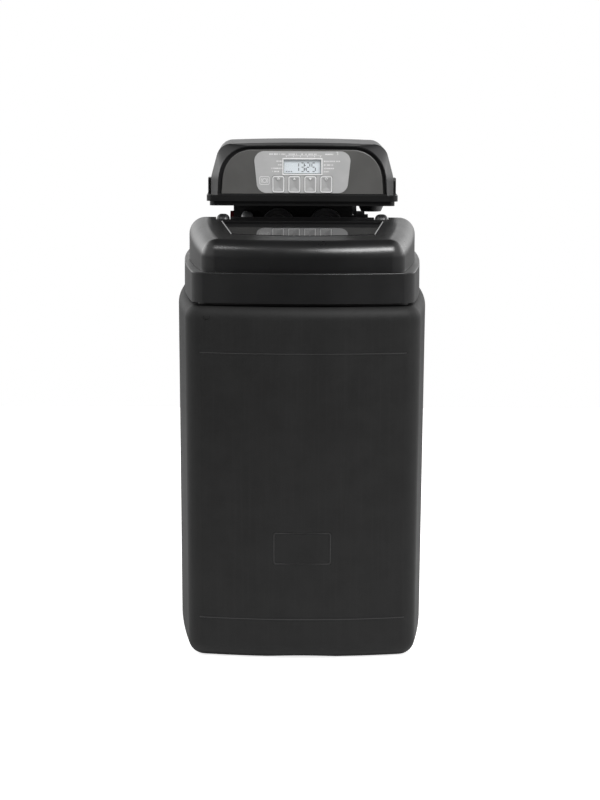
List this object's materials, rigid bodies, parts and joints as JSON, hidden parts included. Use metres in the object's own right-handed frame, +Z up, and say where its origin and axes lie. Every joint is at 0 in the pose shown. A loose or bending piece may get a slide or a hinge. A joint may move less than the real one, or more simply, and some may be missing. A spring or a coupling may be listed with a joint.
{
  "type": "water softener",
  "caption": "Cabinet water softener: brine tank with a hinged salt lid, resin tank, control valve under a hood with a key panel, brine well and bypass.",
  "frame": {"origin": "middle of the cabinet's footprint on the floor", "axes": "+Z up, front towards -Y, +X to the right as seen from the front"},
  "size_m": [0.3311, 0.5, 0.6435],
  "materials": {
    "cabinet_plastic": "fine matte texture",
    "cover_plastic": "satin",
    "lid_plastic": "satin",
    "plate_gloss": "high gloss",
    "steel": "plain",
    "tank_wrap": "wound resin",
    "resin_beads": "beads",
    "black_rubber": "matte",
    "white_plastic": "satin",
    "grey_plastic": "satin",
    "valve_plastic": "satin glass-filled",
    "tube_plastic": "satin",
    "red_plastic": "satin",
    "gear_plastic": "satin",
    "tray_plastic": "satin",
    "hood_plastic": "satin gloss",
    "panel_plastic": "satin",
    "label_film": "matte film",
    "bezel_white": "printed",
    "display_glass": "clear",
    "display_grey": "display",
    "key_grey": "matte",
    "board_green": "solder mask"
  },
  "bodies": {
    "softener": {"cabinet": "cabinet_plastic", "top_cover": "cover_plastic", "pressure_tank": "tank_wrap", "tank_boot": "black_rubber", "resin_bed": "resin_beads", "riser_tube": "white_plastic", "lower_basket": "white_plastic", "upper_screen": "white_plastic", "neck_ring": "black_rubber", "salt_grid": "white_plastic", "brine_well": "white_plastic", "overflow_fitting": "grey_plastic", "overflow_nut": "grey_plastic", "brine_valve": "white_plastic", "air_check": "white_plastic", "brine_tube": "tube_plastic", "valve_body": "valve_plastic", "end_plug": "valve_plastic", "chamber_cap": "valve_plastic", "injector_cap": "valve_plastic", "refill_cap": "valve_plastic", "injector": "grey_plastic", "refill_plug": "grey_plastic", "brine_elbow": "tube_plastic", "drain_fitting": "grey_plastic", "piston_seals": "black_rubber", "seal_spacers": "gear_plastic", "drive_motor": "steel", "bypass_body": "valve_plastic", "union_nuts": "valve_plastic", "port_seals": "black_rubber", "head_base": "tray_plastic", "base_screws": "steel", "power_inlet": "valve_plastic", "side_clips": "tray_plastic"},
    "lid": {"salt_lid": "lid_plastic", "lid_plate": "plate_gloss", "hinge_pins": "steel"},
    "well_lid": {"well_cap": "white_plastic"},
    "float": {"brine_float": "white_plastic", "float_rod": "white_plastic"},
    "gear": {"main_gear": "gear_plastic"},
    "motor": {"motor_pinion": "gear_plastic"},
    "piston_set": {"piston": "valve_plastic", "piston_rod": "gear_plastic"},
    "turbine": {"meter_turbine": "gear_plastic"},
    "inlet_valve": {"inlet_handle": "red_plastic"},
    "outlet_valve": {"outlet_handle": "valve_plastic"},
    "hood": {"head_hood": "hood_plastic", "front_panel": "panel_plastic", "label_panel": "label_film", "display_bezel": "bezel_white", "display_window": "display_glass", "display_module": "display_grey", "circuit_board": "board_green", "board_screws": "steel"},
    "clock_button": {"clock_key": "key_grey"},
    "up_button": {"up_key": "key_grey"},
    "down_button": {"down_key": "key_grey"},
    "cycle_button": {"cycle_key": "key_grey"}
  },
  "joints": [
    {"name": "lid_hinge", "type": "hinge", "parent": "softener", "child": "lid", "pos_m": [0, -0.02, 0.5405], "axis": [-1, 0, 0], "range_deg": [0, 96]},
    {"name": "well_cap_lift", "type": "slide", "parent": "softener", "child": "well_lid", "axis": [0, 0, 1], "range_m": [0, 0.03]},
    {"name": "float_rise", "type": "slide", "parent": "softener", "child": "float", "axis": [0, 0, 1], "range_m": [0, 0.024]},
    {"name": "gear_turn", "type": "hinge", "parent": "softener", "child": "gear", "pos_m": [0.045, 0.098, 0.577], "axis": [0, 0, 1], "range_deg": [0, 128.9]},
    {"name": "motor_spin", "type": "hinge", "parent": "softener", "child": "motor", "pos_m": [0.095, 0.098, 0.577], "axis": [0, 0, 1], "range_deg": [-677, 0]},
    {"name": "piston_slide", "type": "slide", "parent": "softener", "child": "piston_set", "axis": [-1, 0, 0], "range_m": [0, 0.018]},
    {"name": "meter_spin", "type": "hinge", "parent": "softener", "child": "turbine", "pos_m": [0.0322, 0.1479, 0.53], "axis": [0, 1, 0], "continuous": true},
    {"name": "inlet_turn", "type": "hinge", "parent": "softener", "child": "inlet_valve", "pos_m": [-0.08, 0.206, 0.53], "axis": [1, 0, 0], "range_deg": [0, 90]},
    {"name": "outlet_turn", "type": "hinge", "parent": "softener", "child": "outlet_valve", "pos_m": [0.08, 0.206, 0.53], "axis": [1, 0, 0], "range_deg": [0, 90]},
    {"name": "hood_lift", "type": "slide", "parent": "softener", "child": "hood", "axis": [0, 0, 1], "range_m": [0, 0.05]},
    {"name": "clock_press", "type": "slide", "parent": "hood", "child": "clock_button", "axis": [0, 1, 0], "range_m": [0, 0.0007], "stiffness_N_per_m": 400},
    {"name": "up_press", "type": "slide", "parent": "hood", "child": "up_button", "axis": [0, 1, 0], "range_m": [0, 0.0007], "stiffness_N_per_m": 400},
    {"name": "down_press", "type": "slide", "parent": "hood", "child": "down_button", "axis": [0, 1, 0], "range_m": [0, 0.0007], "stiffness_N_per_m": 400},
    {"name": "cycle_press", "type": "slide", "parent": "hood", "child": "cycle_button", "axis": [0, 1, 0], "range_m": [0, 0.0007], "stiffness_N_per_m": 400}
  ],
  "couplings": [
    {"joint": "motor_spin", "follows": "gear_turn", "ratio": -5.25},
    {"joint": "piston_slide", "follows": "gear_turn", "m_per_rad": 0.008}
  ]
}
